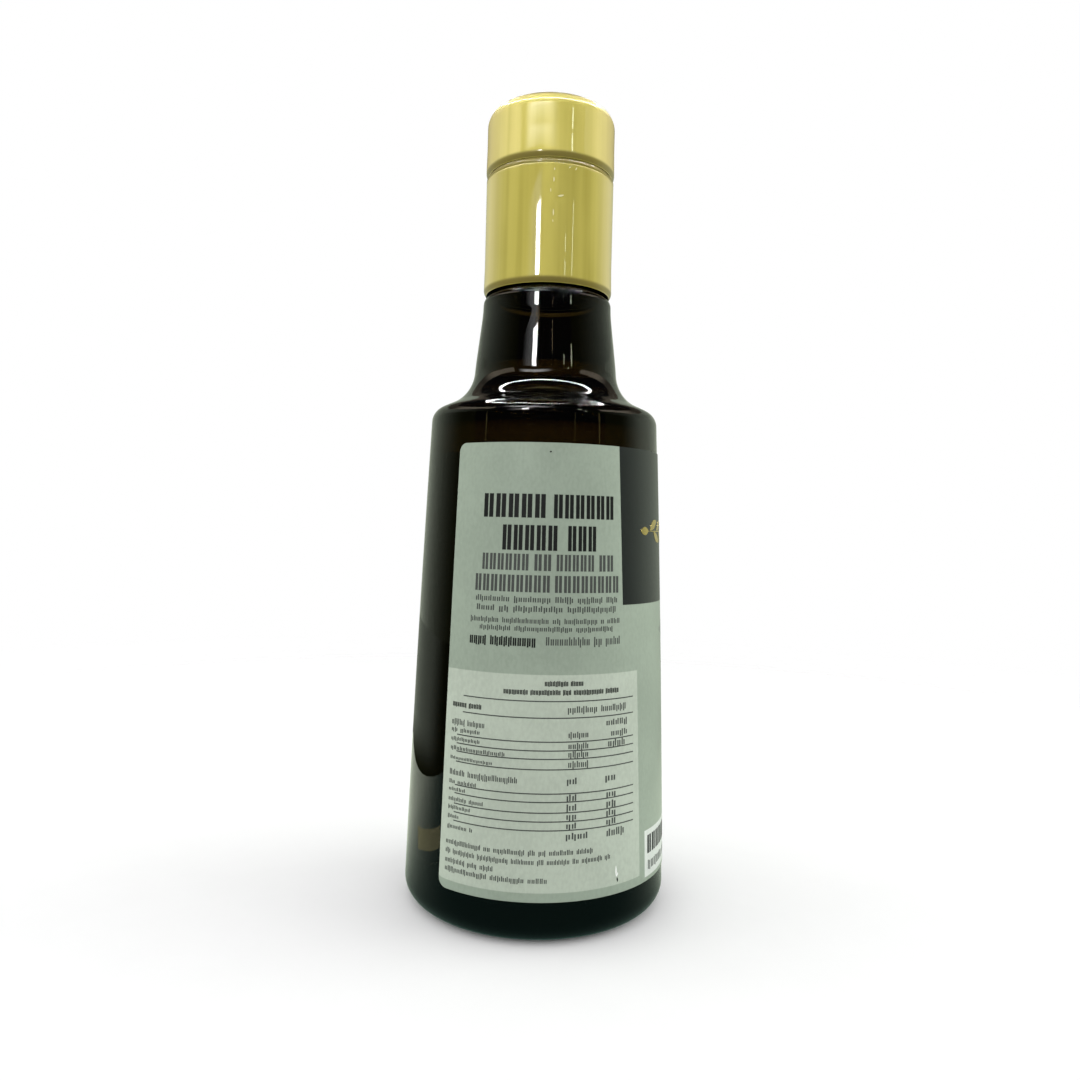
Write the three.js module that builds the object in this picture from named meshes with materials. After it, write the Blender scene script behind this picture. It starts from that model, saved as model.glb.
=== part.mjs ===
// A dark glass bottle of olive oil with a long gold closure and a wrap-round paper label.
// Millimetres, +Z up. The origin is on the bottle's axis at the level of the surface it stands on.
// The front of the model faces -Y, and angles round the axis run from -Y towards +X.
import * as THREE from "three";

// Facets round the axis of every turned piece.
const TURNS = 40;

// Glass, outside: a slightly barrelled tapering body, a sloping shoulder and a tapering neck.
const FOOT_R = 32.1;
const BODY_BOW = 0.28;
const HEEL_ROUND = 5.1;
const SHOULDER_R = 27.75;
const SHOULDER_Z = 118.4;
const SHOULDER_ROUND = 3.4;
const NECK_FOOT_R = 18.1;
const NECK_FOOT_Z = 122.9;
const NECK_FOOT_ROUND = 9.9;
const NECK_TOP_R = 15.6;
const NECK_TOP_Z = 147.4;
const NECK_TOP_ROUND = 1.5;
const FINISH_R = 13.9;
const MOUTH_Z = 188;
const MOUTH_ROUND = 1.2;

// Glass, underneath: a flat contact ring round a shallow push-up.
const CONTACT_R = 24.6;
const PUSH_UP = 2.6;
const PUSH_UP_ROUND = 40;

// Glass, inside.
const WALL = 3.7;
const FLOOR_Z = 6.2;
const FLOOR_ROUND = 6;
const INNER_SHOULDER_DROP = 2.2;
const INNER_SHOULDER_ROUND = 3;
const INNER_NECK_ROUND = 11;
const BORE_R = 9.4;
const BORE_Z = 152;

// Oil, filled to a level in the neck.
const OIL_Z = 130;
const GAP = 0.3;

// Closure: an upper cap over a lower sleeve, both of one radius with a small lip at the lower edge.
const CLOSURE_R = 15.75;
const CLOSURE_BORE_R = 14.3;
const LIP_R = 15.88;
const LIP_HEIGHT = 2.4;
const LIP_IN_R = 15.3;
const LIP_ROUND = 1.6;
const CAP_TOP_Z = 192.9;
const CAP_ROUND = 3.8;
const CAP_FOOT_Z = 176.8;
const SLEEVE_TOP_Z = 176.4;
const SLEEVE_ROUND = 0.5;
const SLEEVE_FOOT_Z = 147.8;
const SLEEVE_MOUTH_R = 15;
const SLEEVE_MOUTH_DEPTH = 2;

// Label: a sector of paper with rounded corners.
const LABEL_LEFT_DEG = -41.7;
const LABEL_RIGHT_DEG = 235.7;
const LABEL_FOOT_Z = 9.9;
const LABEL_TOP_Z = 109.3;
const LABEL_CORNER = 2;
const LABEL_THICK = 0.25;
const LABEL_ROWS = 4;
const LABEL_CORNER_COLUMNS = 3;

// A corner with a rounding radius becomes an arc of the given number of steps.
function roundedCorner(before, corner, after, radius, steps) {
  const back = before.clone().sub(corner).normalize();
  const ahead = after.clone().sub(corner).normalize();
  const half = Math.acos(back.dot(ahead)) / 2;
  const centre = back.clone().add(ahead).normalize().multiplyScalar(radius / Math.sin(half)).add(corner);
  const from = corner.clone().addScaledVector(back, radius / Math.tan(half)).sub(centre).angle();
  const to = corner.clone().addScaledVector(ahead, radius / Math.tan(half)).sub(centre).angle();
  const turn = Math.atan2(Math.sin(to - from), Math.cos(to - from));
  return Array.from({ length: steps + 1 }, (_, i) => {
    const angle = from + (turn * i) / steps;
    return new THREE.Vector2(Math.cos(angle), Math.sin(angle)).multiplyScalar(radius).add(centre);
  });
}

// An outline from its corners, each [radius from the axis, height, rounding, steps].
function outline(corners) {
  const places = corners.map(([r, z]) => new THREE.Vector2(r, z));
  return corners.flatMap(([, , rounding, steps], i) => {
    if (!rounding) {
      return [places[i]];
    }
    return roundedCorner(places[i - 1], places[i], places[i + 1], rounding, steps);
  });
}

// An outline turned round the +Z axis; it runs anticlockwise, with the axis on its left.
function turned(points) {
  return new THREE.LatheGeometry(points, TURNS).rotateX(Math.PI / 2);
}

// The body's outer radius at a height: a straight taper that bows out a little in the middle.
function bodyRadius(z) {
  const t = z / SHOULDER_Z;
  return FOOT_R + (SHOULDER_R - FOOT_R) * t + 4 * BODY_BOW * t * (1 - t);
}

// Corners of the body's side between two heights, offset inwards, without the two ends.
function bodySide(from, to, steps, inset) {
  return Array.from({ length: steps - 1 }, (_, i) => {
    const z = from + ((to - from) * (i + 1)) / steps;
    return [bodyRadius(z) - inset, z];
  });
}

// The inside of the glass from the floor up to a level, with its wall moved in by a clearance.
function innerCorners(clearance) {
  const inset = WALL + clearance;
  const shoulderZ = SHOULDER_Z - INNER_SHOULDER_DROP - clearance;
  const neckFootZ = NECK_FOOT_Z - INNER_SHOULDER_DROP - clearance;
  return [
    [0, FLOOR_Z + clearance],
    [FOOT_R - inset, FLOOR_Z + clearance, FLOOR_ROUND, 4],
    ...bodySide(FLOOR_Z, shoulderZ, 4, inset),
    [SHOULDER_R - inset, shoulderZ, INNER_SHOULDER_ROUND, 4],
    [NECK_FOOT_R - inset, neckFootZ, INNER_NECK_ROUND, 4],
  ];
}

function material(color, roughness, metalness) {
  return new THREE.MeshStandardMaterial({ color, roughness, metalness });
}

function piece(name, geometry, finish) {
  const mesh = new THREE.Mesh(geometry, finish);
  mesh.name = name;
  return mesh;
}

// The bottle: up the outside from the push-up to the mouth, and down the inside to the floor.
function glassBottle() {
  const corners = [
    [0, PUSH_UP],
    [CONTACT_R * 0.6, PUSH_UP, PUSH_UP_ROUND, 3],
    [CONTACT_R, 0],
    [FOOT_R, 0, HEEL_ROUND, 6],
    ...bodySide(0, SHOULDER_Z, 4, 0),
    [SHOULDER_R, SHOULDER_Z, SHOULDER_ROUND, 5],
    [NECK_FOOT_R, NECK_FOOT_Z, NECK_FOOT_ROUND, 6],
    [NECK_TOP_R, NECK_TOP_Z, NECK_TOP_ROUND, 4],
    [FINISH_R, NECK_TOP_Z],
    [FINISH_R, MOUTH_Z, MOUTH_ROUND, 3],
    [BORE_R, MOUTH_Z, MOUTH_ROUND, 3],
    [BORE_R, BORE_Z],
    [NECK_TOP_R - WALL, NECK_TOP_Z],
    ...innerCorners(0).reverse(),
  ];
  return piece("glass_bottle", turned(outline(corners)), material(0x14180c, 0.05, 0));
}

// The oil: the inside of the glass less a clearance, cut off flat at its level.
function oliveOil() {
  const rise = (OIL_Z - NECK_FOOT_Z) / (NECK_TOP_Z - NECK_FOOT_Z);
  const surfaceR = NECK_FOOT_R + (NECK_TOP_R - NECK_FOOT_R) * rise - WALL - GAP;
  const corners = [...innerCorners(GAP), [surfaceR, OIL_Z], [0, OIL_Z]];
  return piece("olive_oil", turned(outline(corners)), material(0x8a7a1c, 0.1, 0));
}

// Corners of a closure piece's lower edge, from inside to outside: a lip that curls in.
function lip(footZ) {
  return [
    [LIP_IN_R, footZ],
    [LIP_R, footZ + LIP_HEIGHT * 0.4, LIP_ROUND, 3],
    [LIP_R, footZ + LIP_HEIGHT * 0.8],
    [CLOSURE_R, footZ + LIP_HEIGHT],
  ];
}

// The upper cap: a round-shouldered cup over the mouth of the glass.
function capTop() {
  const corners = [
    [0, MOUTH_Z + GAP],
    [CLOSURE_BORE_R, MOUTH_Z + GAP],
    [CLOSURE_BORE_R, CAP_FOOT_Z],
    ...lip(CAP_FOOT_Z),
    [CLOSURE_R, CAP_TOP_Z, CAP_ROUND, 6],
    [0, CAP_TOP_Z],
  ];
  return piece("cap_top", turned(outline(corners)), material(0xc8be67, 0.3, 1));
}

// The lower sleeve: a ring round the finish of the glass, a little wider inside at its foot.
function capSleeve() {
  const corners = [
    [SLEEVE_MOUTH_R, SLEEVE_FOOT_Z],
    ...lip(SLEEVE_FOOT_Z),
    [CLOSURE_R, SLEEVE_TOP_Z, SLEEVE_ROUND, 3],
    [CLOSURE_BORE_R, SLEEVE_TOP_Z],
    [CLOSURE_BORE_R, SLEEVE_FOOT_Z + 2 * SLEEVE_MOUTH_DEPTH],
    [SLEEVE_MOUTH_R, SLEEVE_FOOT_Z + SLEEVE_MOUTH_DEPTH],
    [SLEEVE_MOUTH_R, SLEEVE_FOOT_Z],
  ];
  return piece("cap_sleeve", turned(outline(corners)), material(0xc8be67, 0.3, 1));
}

// Angles of the label's columns: close together at its rounded corners, in even steps between.
function labelColumns() {
  const corner = THREE.MathUtils.radToDeg(LABEL_CORNER / bodyRadius(LABEL_TOP_Z));
  const step = 360 / TURNS;
  const angles = [];
  for (let i = 0; i < LABEL_CORNER_COLUMNS; i++) {
    const part = 1 - Math.cos((Math.PI / 2) * (i / LABEL_CORNER_COLUMNS));
    angles.push(LABEL_LEFT_DEG + corner * part, LABEL_RIGHT_DEG - corner * part);
  }
  const first = Math.ceil((LABEL_LEFT_DEG + corner) / step) * step;
  for (let angle = first; angle < LABEL_RIGHT_DEG - corner; angle += step) {
    angles.push(angle);
  }
  return angles.sort((a, b) => a - b);
}

// The label: a flat box with the label's columns and rows, bent round the body.
function label() {
  const columns = labelColumns();
  const box = new THREE.BoxGeometry(1, 1, 1, columns.length - 1, 1, LABEL_ROWS);
  const place = box.attributes.position;
  const middleZ = (LABEL_TOP_Z + LABEL_FOOT_Z) / 2;
  for (let i = 0; i < place.count; i++) {
    const column = columns[Math.round((place.getX(i) + 0.5) * (columns.length - 1))];
    const angle = THREE.MathUtils.degToRad(column);
    const endAngle = Math.min(column - LABEL_LEFT_DEG, LABEL_RIGHT_DEG - column);
    const toEnd = THREE.MathUtils.degToRad(endAngle) * bodyRadius(middleZ);
    const short = Math.max(0, LABEL_CORNER - toEnd);
    const trim = LABEL_CORNER - Math.sqrt(LABEL_CORNER ** 2 - short ** 2);
    const z = middleZ + place.getZ(i) * (LABEL_TOP_Z - LABEL_FOOT_Z - 2 * trim);
    const r = bodyRadius(z) + GAP + (place.getY(i) < 0 ? LABEL_THICK : 0);
    place.setXYZ(i, r * Math.sin(angle), -r * Math.cos(angle), z);
  }
  return piece("label", box, material(0xa0ac9e, 0.6, 0));
}

const bottle = new THREE.Group();
bottle.add(glassBottle(), oliveOil(), capTop(), capSleeve(), label());

export default bottle;
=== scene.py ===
"""Looks of a filled olive oil bottle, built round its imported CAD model.

Metres, +Z up. The origin is on the bottle's axis at the level of the surface it stands on.
The front faces -Y, and angles round the axis run from -Y towards +X.
"""
import math

import bpy
import numpy as np
from bpy.props import FloatProperty, FloatVectorProperty, PointerProperty
from mathutils import Matrix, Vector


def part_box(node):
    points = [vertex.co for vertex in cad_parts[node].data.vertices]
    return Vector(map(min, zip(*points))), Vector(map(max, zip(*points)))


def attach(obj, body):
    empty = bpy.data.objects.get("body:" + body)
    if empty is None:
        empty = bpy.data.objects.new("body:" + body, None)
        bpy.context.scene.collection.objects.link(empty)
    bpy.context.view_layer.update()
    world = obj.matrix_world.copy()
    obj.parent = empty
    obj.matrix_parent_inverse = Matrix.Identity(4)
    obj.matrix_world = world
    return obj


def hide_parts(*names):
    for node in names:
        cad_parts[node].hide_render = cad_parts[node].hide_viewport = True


bl_info = {
    "name": "Olive oil bottle",
    "version": (1, 0, 0),
    "blender": (4, 5, 0),
    "location": "3D View > Sidebar > Bottle",
    "description": "Builds a dark glass bottle of olive oil with a gold closure and a paper label",
    "category": "Add Mesh",
}

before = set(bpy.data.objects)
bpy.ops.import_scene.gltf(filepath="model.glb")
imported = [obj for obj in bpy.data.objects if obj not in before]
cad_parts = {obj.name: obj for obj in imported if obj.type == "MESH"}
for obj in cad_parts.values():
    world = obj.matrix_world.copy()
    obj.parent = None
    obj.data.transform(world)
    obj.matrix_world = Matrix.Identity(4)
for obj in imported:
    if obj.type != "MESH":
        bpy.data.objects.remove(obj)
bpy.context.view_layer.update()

MM = 0.001
BODY = "root"
SINK = 0.01 * MM
OIL_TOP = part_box("olive_oil")[1].z
MOUTH_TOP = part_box("glass_bottle")[1].z
CAP_FOOT, CAP_TOP = (corner.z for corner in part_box("cap_top"))
SLEEVE_FOOT, SLEEVE_TOP = (corner.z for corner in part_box("cap_sleeve"))
LABEL_FOOT, LABEL_TOP = (corner.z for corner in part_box("label"))


# Settings

def length(millimetres, description):
    """A setting for a length, kept in metres."""
    return FloatProperty(
        description=description, default=millimetres * MM, unit="LENGTH", precision=5
    )


def angle(degrees, description):
    """A setting for an angle, kept in radians."""
    return FloatProperty(description=description, default=math.radians(degrees), unit="ROTATION")


def colour(rgb, description):
    """A setting for a colour, in linear light."""
    return FloatVectorProperty(
        description=description, default=rgb, subtype="COLOR", size=3, min=0, max=1
    )


def strength(value, description):
    """A setting for how much light something gives or takes."""
    return FloatProperty(description=description, default=value, min=0)


def named(group):
    """Names each setting of a group in the words of its attribute."""
    for key, setting in group.__annotations__.items():
        setting.keywords["name"] = key.replace("_", " ").capitalize()
    return group


@named
class GlassSettings(bpy.types.PropertyGroup):
    """Sizes and colours of the glass and of the oil in it."""

    foot_radius: length(32.1, "Body radius at the level it stands on")
    body_bow: length(0.28, "How far the side bows out at half height")
    heel_round: length(5.1, "Rounding between the side and the base")
    shoulder_radius: length(27.75, "Body radius at the shoulder")
    shoulder_height: length(118.4, "Height where the side meets the shoulder")
    shoulder_round: length(3.7, "Rounding of the shoulder's edge")
    neck_foot_radius: length(18.1, "Neck radius at its foot")
    neck_foot_height: length(122.9, "Height of the neck's foot")
    neck_foot_round: length(9.9, "Hollow rounding under the neck")
    neck_middle_radius: length(17.36, "Neck radius where it leans in more")
    neck_middle_height: length(131, "Height where the neck leans in more")
    neck_collar_radius: length(15.88, "Neck radius where it turns upright")
    neck_collar_height: length(143.4, "Height where the neck turns upright")
    neck_top_radius: length(15.78, "Neck radius at its upper end")
    neck_top_height: length(147.4, "Height of the neck's upper end")
    neck_top_round: length(1.9, "Rounding of the neck's upper edge")
    finish_radius: length(13.9, "Radius of the tube inside the closure")
    mouth_round: length(1.2, "Rounding of the mouth's edges")
    contact_radius: length(24.6, "Inner radius of the ring it stands on")
    push_up: length(2.6, "Height of the hollow under the base")
    push_up_round: length(40, "Rounding of the hollow under the base")
    wall: length(3.7, "Thickness of the glass")
    floor_height: length(6.2, "Height of the floor inside")
    floor_round: length(6, "Rounding between floor and wall")
    bore_radius: length(9.4, "Radius of the hole through the finish")
    bore_height: length(152, "Height where the hole through the finish begins")
    waviness: length(0.0015, "How far the pressed surface swells and sinks")
    glass_colour: colour((0.41, 0.34, 0.08), "Tint that the glass leaves in light")
    glass_density: strength(1000, "Absorption of the glass, per metre")
    oil_colour: colour((0.78, 0.66, 0.05), "Tint that the oil leaves in light")
    oil_density: strength(24, "Absorption of the oil, per metre")
    oil_reach: length(0.1, "How far the oil reaches into the wall")


@named
class ClosureSettings(bpy.types.PropertyGroup):
    """Sizes and colours of the gold closure."""

    radius: length(15.75, "Radius of cap and sleeve")
    bore_radius: length(14.3, "Inside radius of cap and sleeve")
    shell_thickness: length(0.35, "Thickness of the metal")
    lip_radius: length(15.88, "Radius of the lip at a lower edge")
    lip_in_radius: length(15.3, "Radius to which the lip curls in")
    lip_height: length(2.4, "Height of the lip")
    lip_round: length(1.6, "Rounding of the lip")
    top_round: length(3.8, "Rounding of the cap's upper edge")
    bead: length(0.3, "Radius of the bead on the sleeve's upper edge")
    lining_recess: length(0.35, "How far the lining stays above the foot")
    gold: colour((0.55, 0.48, 0.09), "Colour of the lacquered sleeve")
    gold_deep: colour((0.42, 0.36, 0.05), "Colour of the deeper clouds in the lacquer")
    # Painted light: the cap's paler colour stands in for the light that falls more on the cap than
    # on the sleeve.
    gold_painted_light: colour((0.70, 0.61, 0.155), "Colour of the lacquered cap")
    # Painted sheen: the colour laid where the lacquer is seen aslant.
    gold_painted_sheen: colour((0.70, 0.60, 0.23), "Colour of the lacquer seen aslant")
    # Painted shade: the dark colour laid along curled edges.
    gold_painted_shade: colour((0.27, 0.22, 0.04), "Colour of the lacquer on curled edges")
    # Painted glints: the pale colour of flecks laid over the dents, where the lacquer would catch
    # the light.
    scuff: colour((0.80, 0.76, 0.42), "Colour of the small scuffs on the sleeve")
    # Painted shade: the lining is near black to stand in for the shade in the gap under the sleeve.
    lining: colour((0.006, 0.006, 0.006), "Colour of the plastic lining")


@named
class LabelSettings(bpy.types.PropertyGroup):
    """Sizes and colours of the label and its print."""

    left: angle(-41.7, "Angle of the label's left end")
    right: angle(235.7, "Angle of the label's right end")
    corner: length(2, "Rounding of the label's corners")
    lift: length(0.03, "Thickness of the glue under the label")
    thickness: length(0.14, "Thickness of the paper")
    ink_height: length(0.02, "Thickness of the raised ink")
    foil_height: length(0.05, "Thickness of the stamped foil")
    paper: colour((0.34, 0.41, 0.325), "Colour of the silvery paper")
    panel: colour((0.47, 0.535, 0.44), "Colour of the lighter panel")
    block: colour((0.012, 0.016, 0.015), "Colour of the dark block")
    box: colour((0.66, 0.71, 0.65), "Colour of the pale box")
    cut_edge: colour((0.82, 0.85, 0.80), "Colour of the paper's cut edge")
    ink: colour((0.008, 0.010, 0.009), "Colour of the dark print")
    grey_ink: colour((0.060, 0.068, 0.060), "Colour of the grey print")
    pale_ink: colour((0.29, 0.33, 0.285), "Colour of the faint print")
    foil: colour((0.86, 0.66, 0.24), "Colour of the stamped foil")


@named
class StageSettings(bpy.types.PropertyGroup):
    """The camera, the floor and the lamps."""

    camera_place: FloatVectorProperty(
        description="Where the camera stands", default=(-0.00036, -0.2182, 0.0905),
        size=3, subtype="TRANSLATION", unit="LENGTH",
    )
    camera_tilt: angle(0.76, "How far the camera looks down")
    camera_roll: angle(1.4, "How far the camera leans")
    lens: FloatProperty(description="Focal length in millimetres", default=29)
    floor_radius: length(900, "Radius of the floor")
    floor_colour: colour((0.97, 0.97, 0.97), "Colour of the floor")
    sky_strength: strength(1.02, "Light of the soft dome over everything")
    side_strength: strength(2.5, "Light of the soft panels at both sides")
    ring_radius: length(134, "Radius of the ring of lamps overhead")
    ring_height: length(350, "Height of the ring of lamps")
    ring_back: length(30, "How far the ring of lamps is set back")
    lamp_length: length(5, "Size of one small lamp along the ring")
    lamp_width: length(8, "Size of one small lamp across the ring")
    lamp_strength: strength(110, "Light of the lamps overhead")
    spot_strength: strength(34, "Light of the small lamp in front")
    halo_strength: strength(1.2, "Light of the soft panel round the small lamp")
    hood_strength: strength(5, "Light of the soft panel over the front")
    wall_strength: strength(0.42, "Light of the walls, on which their bands depend")
    back_strength: strength(1.0, "Light of the wall seen through the glass")
    mat_strength: strength(0.9, "Light of the mat that the glass mirrors")
    room_strength: strength(0.02, "Light from everywhere else")


# Materials

class Number:
    """A socket's number, on which Python's operators work: each one adds a Math node."""

    def __init__(self, finish, socket):
        self.finish = finish
        self.socket = socket

    def __add__(self, other):
        return self.finish.maths("ADD", self, other)

    def __sub__(self, other):
        return self.finish.maths("SUBTRACT", self, other)

    def __rsub__(self, other):
        return self.finish.maths("SUBTRACT", other, self)

    def __mul__(self, other):
        return self.finish.maths("MULTIPLY", self, other)

    __radd__ = __add__
    __rmul__ = __mul__


class Finish:
    """A material, or a world, while its nodes are being joined."""

    def __init__(self, name, kind="materials"):
        self.owner = getattr(bpy.data, kind).new(name)
        self.owner.use_nodes = True
        self.tree = self.owner.node_tree
        self.tree.nodes.clear()

    def node(self, kind, settings, sockets, output=0):
        """Makes any node: its settings first, then the values or links of its sockets."""
        made = self.tree.nodes.new(kind)
        for name, value in settings.items():
            setattr(made, name, value)
        for key, value in sockets.items():
            if isinstance(value, Number):
                self.tree.links.new(value.socket, made.inputs[key])
            else:
                made.inputs[key].default_value = value
        return Number(self, made.outputs[output]) if made.outputs else None

    def maths(self, operation, *values):
        return self.node("ShaderNodeMath", {"operation": operation}, dict(enumerate(values)))

    def vectors(self, operation, *values, output=0):
        sockets = dict(enumerate(values))
        return self.node("ShaderNodeVectorMath", {"operation": operation}, sockets, output)

    def place(self):
        """Where a point lies on the object."""
        return self.node("ShaderNodeTexCoord", {}, {}, "Object")

    def along(self, axis):
        """How far from the origin a point lies along an axis."""
        return self.vectors("DOT_PRODUCT", self.place(), axis, output="Value")

    def noise(self, scale, detail=2.0, stretch=(1, 1, 1)):
        """Noise from 0 to 1 over the object; a stretch below 1 draws it out along that axis."""
        stretched = self.vectors("MULTIPLY", self.place(), stretch)
        return self.node(
            "ShaderNodeTexNoise", {}, {"Vector": stretched, "Scale": scale, "Detail": detail}
        )

    def ramp(self, value, low, high, start=0.0, end=1.0):
        """A number that goes smoothly from start to end as another goes from low to high."""
        return self.node(
            "ShaderNodeMapRange",
            {"interpolation_type": "SMOOTHSTEP"},
            {"Value": value, "From Min": low, "From Max": high, "To Min": start, "To Max": end},
        )

    def blend(self, factor, first, second):
        """A colour between two, by a factor."""
        colours = {
            key: value if isinstance(value, Number) else (*value, 1)
            for key, value in ((6, first), (7, second))
        }
        return self.node("ShaderNodeMix", {"data_type": "RGBA"}, {0: factor, **colours}, 2)

    def bump(self, height, distance, amount=1.0):
        """A normal tilted by a height map whose full range is the distance."""
        return self.node(
            "ShaderNodeBump", {}, {"Strength": amount, "Distance": distance, "Height": height}
        )

    def surface(self, sockets, absorption=None):
        """Ends in a Principled shader, with an absorbing volume where one is given."""
        ends = {"Surface": self.node("ShaderNodeBsdfPrincipled", {}, sockets)}
        if absorption:
            tint, density = absorption
            volume = {"Color": (*tint, 1), "Density": density}
            ends["Volume"] = self.node("ShaderNodeVolumeAbsorption", {}, volume)
        self.node("ShaderNodeOutputMaterial", {}, ends)
        return self.owner


def dark_glass(glass):
    """Polished glass, nearly black through its thickness, with a faint dusty bloom."""
    finish = Finish("dark_glass")
    bloom = finish.ramp(finish.noise(55, 4), 0.45, 0.75)
    swell = finish.noise(210, 2, (1, 1, 0.45))
    return finish.surface(
        {
            "Base Color": finish.blend(bloom, (1, 1, 1), (0.96, 0.97, 0.95)),
            "Roughness": finish.ramp(bloom, 0, 1, 0.0, 0.012),
            "IOR": 1.52,
            "Transmission Weight": 1.0,
            "Normal": finish.bump(swell, 0.01 * MM, 0.1),
        },
        (glass.glass_colour, glass.glass_density),
    )


def golden_oil(glass):
    """Clear golden-green oil."""
    finish = Finish("golden_oil")
    swirl = finish.noise(30)
    return finish.surface(
        {
            "Base Color": finish.blend(swirl, (1, 1, 1), (1, 0.99, 0.95)),
            "Roughness": finish.ramp(swirl, 0.3, 0.8, 0.0, 0.02),
            "IOR": 1.47,
            "Transmission Weight": 1.0,
        },
        (glass.oil_colour, glass.oil_density),
    )


def gold_lacquer(closure):
    """Satin metal under a glossy lacquer: fine flakes, and faint streaks drawn upwards.

    It is painted paler on the cap, as painted light where more light falls on it, and paler where it
    is seen aslant, as a painted sheen; it is painted darker on curled edges, as painted shade; and
    its gloss is rubbed off the cap's upper edge.
    """
    finish = Finish("gold_lacquer")
    streaks = finish.noise(330, 2, (1, 1, 0.025))
    clouds = finish.noise(60, 3, (1, 1, 0.3))
    flakes = finish.noise(2600, 1)
    tone = finish.ramp(0.5 * clouds + 0.5 * streaks, 0.38, 0.64)
    height = finish.along((0, 0, 1))
    # The cap is painted paler than the sleeve, as painted light: it stands in for the light that
    # falls more on the cap.
    higher = finish.ramp(height, SLEEVE_TOP - 1 * MM, CAP_FOOT + 1 * MM)
    lacquer = finish.blend(
        tone,
        finish.blend(higher, closure.gold, closure.gold_painted_light),
        finish.blend(higher, closure.gold_deep, closure.gold),
    )
    # Painted sheen: the lacquer is painted paler where it is seen aslant.
    aslant = finish.node("ShaderNodeLayerWeight", {}, {"Blend": 0.5}, "Facing")
    lacquer = finish.blend(finish.ramp(aslant, 0.3, 0.75), lacquer, closure.gold_painted_sheen)
    # Painted shade: dark bands are painted along the curled edges of sleeve and cap and along the
    # cap's upper edge.
    for level, reach in ((SLEEVE_FOOT, 1.7 * MM), (CAP_FOOT, 1.7 * MM), (CAP_TOP, 1.5 * MM)):
        apart = finish.maths("ABSOLUTE", height - level)
        edge = finish.ramp(apart, 0.55 * reach, reach, 1.0, 0.0)
        curled = finish.ramp(apart, 0.02 * MM, 0.2 * MM)
        lacquer = finish.blend(edge * curled, lacquer, closure.gold_painted_shade)
    rubbed = finish.ramp(height, CAP_TOP - closure.top_round, CAP_TOP - 0.8 * MM, 1.0, 0.04)
    return finish.surface(
        {
            "Base Color": lacquer,
            "Metallic": 0.4,
            "Roughness": 0.54 + 0.12 * streaks,
            "Normal": finish.bump(flakes, 0.05 * MM, 0.12),
            "Coat Weight": finish.ramp(clouds, 0.2, 0.8, 1.0, 0.85) * rubbed,
            "Coat Roughness": 0.04,
            "Coat IOR": 1.7,
        }
    )


def painted_shade_plastic(closure):
    """Near-black plastic with a fine grain, standing in for the shade in the gap under the sleeve.
    """
    finish = Finish("painted_shade_plastic")
    grain = finish.noise(900)
    return finish.surface(
        {
            "Base Color": finish.blend(grain, closure.lining, (0.02, 0.02, 0.02)),
            "Roughness": finish.ramp(grain, 0.2, 0.8, 0.35, 0.5),
        }
    )


def printed_paper(name, ground, metallic, roughness, coat=0.0):
    """Printed paper: short fibres mottle its colour, its sheen and its surface."""
    finish = Finish(name)
    fibres = finish.noise(1500, 3, (1, 1, 0.6))
    clouds = finish.noise(75, 3)
    mottle = finish.ramp(0.5 * fibres + 0.5 * clouds, 0.35, 0.65)
    darker = [part * 0.93 for part in ground]
    lighter = [min(1, part * 1.05) for part in ground]
    return finish.surface(
        {
            "Base Color": finish.blend(mottle, darker, lighter),
            "Metallic": metallic,
            "Roughness": roughness - 0.06 + 0.12 * fibres,
            "Normal": finish.bump(fibres, 0.02 * MM, 0.35),
            "Coat Weight": coat,
            "Coat Roughness": 0.25,
        }
    )


def stamped_foil(label):
    """Bright gold foil, a little uneven where it was pressed."""
    finish = Finish("stamped_foil")
    dimples = finish.noise(700)
    return finish.surface(
        {
            "Base Color": finish.blend(dimples, label.foil, [0.85 * part for part in label.foil]),
            "Metallic": 1.0,
            "Roughness": finish.ramp(dimples, 0.3, 0.7, 0.2, 0.32),
            "Normal": finish.bump(dimples, 0.05 * MM, 0.3),
        }
    )


def glow(name, light, tint=(1, 1, 1), dim_tint=(0, 0, 0), fades=()):
    """A surface that only gives light, and that may fade from its tint to a dim one.

    A fade is (axis, dim place, bright place, dim share): the light rises smoothly between the
    two places along the axis, from that share of it to the whole. Several shares are multiplied.
    """
    finish = Finish(name)
    share = 1.0
    for axis, dim, bright, low in fades:
        share = finish.ramp(finish.along(axis), dim, bright, low) * share
    tinted = finish.blend(share, dim_tint, tint)
    shine = finish.node("ShaderNodeEmission", {}, {"Color": tinted, "Strength": light})
    finish.node("ShaderNodeOutputMaterial", {}, {"Surface": shine})
    return finish.owner


def pale_floor(stage):
    """A matt pale floor that fades out before its edge, so that no rim shows."""
    finish = Finish("pale_floor")
    away = finish.vectors("LENGTH", finish.place(), output="Value")
    tint = [0.97 * part for part in stage.floor_colour]
    return finish.surface(
        {
            "Base Color": finish.blend(finish.noise(90, 3), stage.floor_colour, tint),
            "Roughness": 0.9,
            "Specular IOR Level": 0.2,
            "Alpha": finish.ramp(away, 0.12 * stage.floor_radius, 0.6 * stage.floor_radius, 1, 0),
        }
    )


# Shapes

def grid_faces(columns, rows, close_columns=False, close_rows=False):
    """Quads between neighbouring columns and rows, for points numbered column by column.

    Each quad goes round (column, row), (column + 1, row), (column + 1, row + 1), (column, row + 1),
    so it faces the way that the column direction crossed with the row direction points.
    """
    column, row = np.meshgrid(
        np.arange(columns - (not close_columns)), np.arange(rows - (not close_rows)), indexing="ij"
    )
    next_column = (column + 1) % columns
    next_row = (row + 1) % rows
    corners = (
        column * rows + row,
        next_column * rows + row,
        next_column * rows + next_row,
        column * rows + next_row,
    )
    return np.stack(corners, -1).reshape(-1, 4)


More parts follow.
